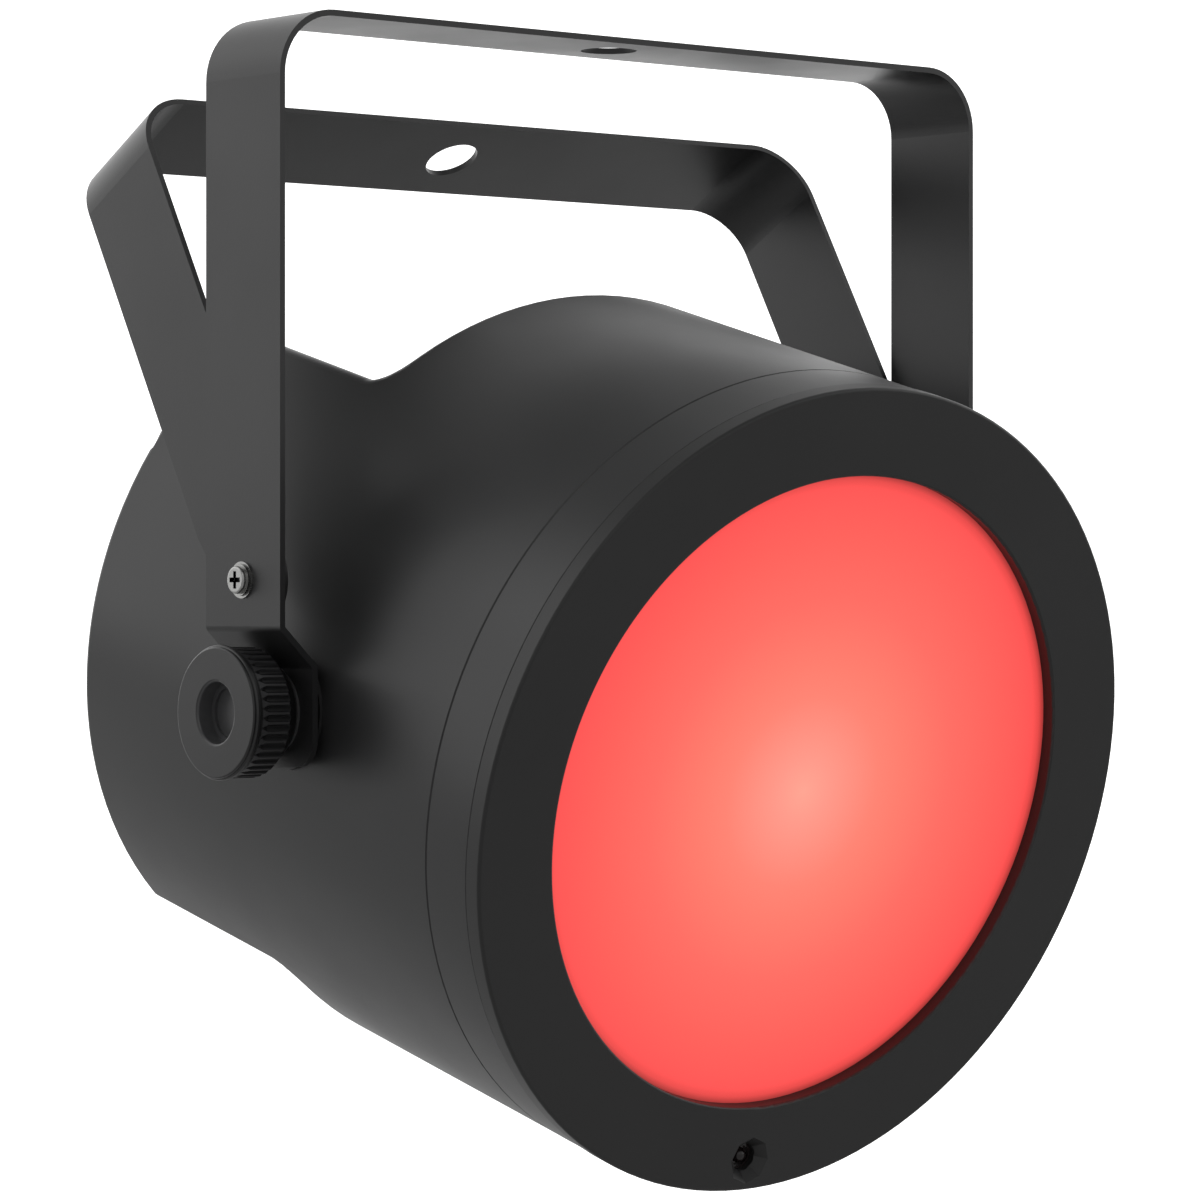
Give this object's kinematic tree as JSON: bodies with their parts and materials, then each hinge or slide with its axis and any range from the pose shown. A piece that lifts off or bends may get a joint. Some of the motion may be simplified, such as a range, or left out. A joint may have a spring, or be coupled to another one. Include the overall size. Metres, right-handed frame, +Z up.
{
  "type": "par can light",
  "caption": "Round LED par can light with a red diffuser lens, hung in a double flat-strap yoke with ribbed tilt knobs; rear panel with display, keys, fan guard and sockets.",
  "frame": {"origin": "centre of the clamp bolt hole, on the top face of the front yoke's bar", "axes": "+Z up along the clamp bolt, -Y towards the front of the light, +X along the tilt axis to the right"},
  "size_m": [0.2434, 0.2059, 0.2847],
  "materials": {
    "yoke_paint": "satin powder coat",
    "zinc_steel": "bright zinc plate",
    "black_nylon": "moulded nylon",
    "knob_plastic": "satin moulded plastic",
    "housing_plastic": "satin moulded plastic, fine grain",
    "bezel_plastic": "satin moulded plastic",
    "red_diffuser": "satin red diffuser, lit from behind",
    "gasket_rubber": "matt",
    "smoked_plastic": "smoked",
    "brass_insert": "machined",
    "plain_aluminium": "mill finish",
    "bright_aluminium": "bright rolled",
    "black_screws": "black oxide",
    "white_board": "white board",
    "phosphor": "yellow phosphor",
    "white_plastic": "matt",
    "green_board": "solder resist",
    "dark_parts": "moulded components",
    "panel_paint": "satin powder coat",
    "black_plastic": "moulded",
    "fuse_glass": "clear tube",
    "connector_metal": "black die casting",
    "latch_metal": "bare",
    "button_plastic": "satin"
  },
  "bodies": {
    "yoke": {"front_yoke": "yoke_paint", "yoke_screws": "zinc_steel", "flat_washers": "zinc_steel", "spring_washers": "zinc_steel", "spacer_washers": "black_nylon", "yoke_nuts": "zinc_steel"},
    "can": {"main_housing": "housing_plastic", "front_collar": "housing_plastic", "front_bezel": "bezel_plastic", "diffuser_lens": "red_diffuser", "lens_gasket": "gasket_rubber", "remote_sensor": "smoked_plastic", "pivot_inserts": "brass_insert", "friction_washers": "black_nylon", "bulkhead": "plain_aluminium", "bulkhead_screws": "black_screws", "heat_sink": "plain_aluminium", "led_module": "white_board", "led_emitter": "phosphor", "led_holder": "white_plastic", "reflector": "bright_aluminium", "power_supply": "plain_aluminium", "supply_board": "green_board", "driver_board": "green_board", "driver_parts": "dark_parts", "rear_panel": "panel_paint", "panel_screws": "black_screws", "fan_frame": "black_plastic", "fan_screws": "black_screws", "display_window": "smoked_plastic", "display_module": "dark_parts", "display_board": "green_board", "board_posts": "brass_insert", "key_switches": "dark_parts", "power_inlet": "black_plastic", "inlet_blades": "zinc_steel", "power_outlet": "black_plastic", "outlet_contacts": "brass_insert", "fuse_holder": "black_plastic", "fuse": "fuse_glass", "dmx_input": "connector_metal", "dmx_input_pins": "zinc_steel", "dmx_output": "connector_metal", "connector_screws": "black_screws", "safety_loop": "zinc_steel", "loop_nuts": "zinc_steel"},
    "rear_yoke": {"rear_yoke": "yoke_paint"},
    "knob_left": {"knob_left": "knob_plastic", "knob_stud_left": "zinc_steel"},
    "knob_right": {"knob_right": "knob_plastic", "knob_stud_right": "zinc_steel"},
    "fan": {"fan_rotor": "black_plastic"},
    "menu_button": {"button_menu": "button_plastic"},
    "down_button": {"button_down": "button_plastic"},
    "up_button": {"button_up": "button_plastic"},
    "enter_button": {"button_enter": "button_plastic"},
    "latch": {"dmx_latch": "latch_metal"},
    "fuse_carrier": {"fuse_cap": "black_plastic"}
  },
  "joints": [
    {"name": "can_tilt", "type": "hinge", "parent": "yoke", "child": "can", "pos_m": [0, 0, -0.167], "axis": [1, 0, 0], "range_deg": [-105, 105]},
    {"name": "rear_yoke_swing", "type": "hinge", "parent": "yoke", "child": "rear_yoke", "pos_m": [0, 0, -0.1355], "axis": [1, 0, 0], "range_deg": [-55, 115]},
    {"name": "knob_left_turn", "type": "hinge", "parent": "yoke", "child": "knob_left", "pos_m": [-0.113, 0, -0.167], "axis": [-1, 0, 0], "range_deg": [0, 360]},
    {"name": "knob_right_turn", "type": "hinge", "parent": "yoke", "child": "knob_right", "pos_m": [0.113, 0, -0.167], "axis": [1, 0, 0], "range_deg": [0, 360]},
    {"name": "fan_spin", "type": "hinge", "parent": "can", "child": "fan", "pos_m": [0, 0.0742, -0.16575], "axis": [0, -0.9659, -0.2588], "continuous": true},
    {"name": "menu_press", "type": "slide", "parent": "can", "child": "menu_button", "axis": [0, -0.9659, -0.2588], "range_m": [0, 0.0008], "stiffness_N_per_m": 600, "springref_m": -0.0005},
    {"name": "down_press", "type": "slide", "parent": "can", "child": "down_button", "axis": [0, -0.9659, -0.2588], "range_m": [0, 0.0008], "stiffness_N_per_m": 600, "springref_m": -0.0005},
    {"name": "up_press", "type": "slide", "parent": "can", "child": "up_button", "axis": [0, -0.9659, -0.2588], "range_m": [0, 0.0008], "stiffness_N_per_m": 600, "springref_m": -0.0005},
    {"name": "enter_press", "type": "slide", "parent": "can", "child": "enter_button", "axis": [0, -0.9659, -0.2588], "range_m": [0, 0.0008], "stiffness_N_per_m": 600, "springref_m": -0.0005},
    {"name": "latch_press", "type": "slide", "parent": "can", "child": "latch", "axis": [0, -0.9659, -0.2588], "range_m": [0, 0.0011], "stiffness_N_per_m": 900, "springref_m": -0.0008},
    {"name": "fuse_carrier_turn", "type": "hinge", "parent": "can", "child": "fuse_carrier", "pos_m": [-0.068, 0.08017, -0.14552], "axis": [0, -0.9659, -0.2588], "range_deg": [0, 60]}
  ]
}
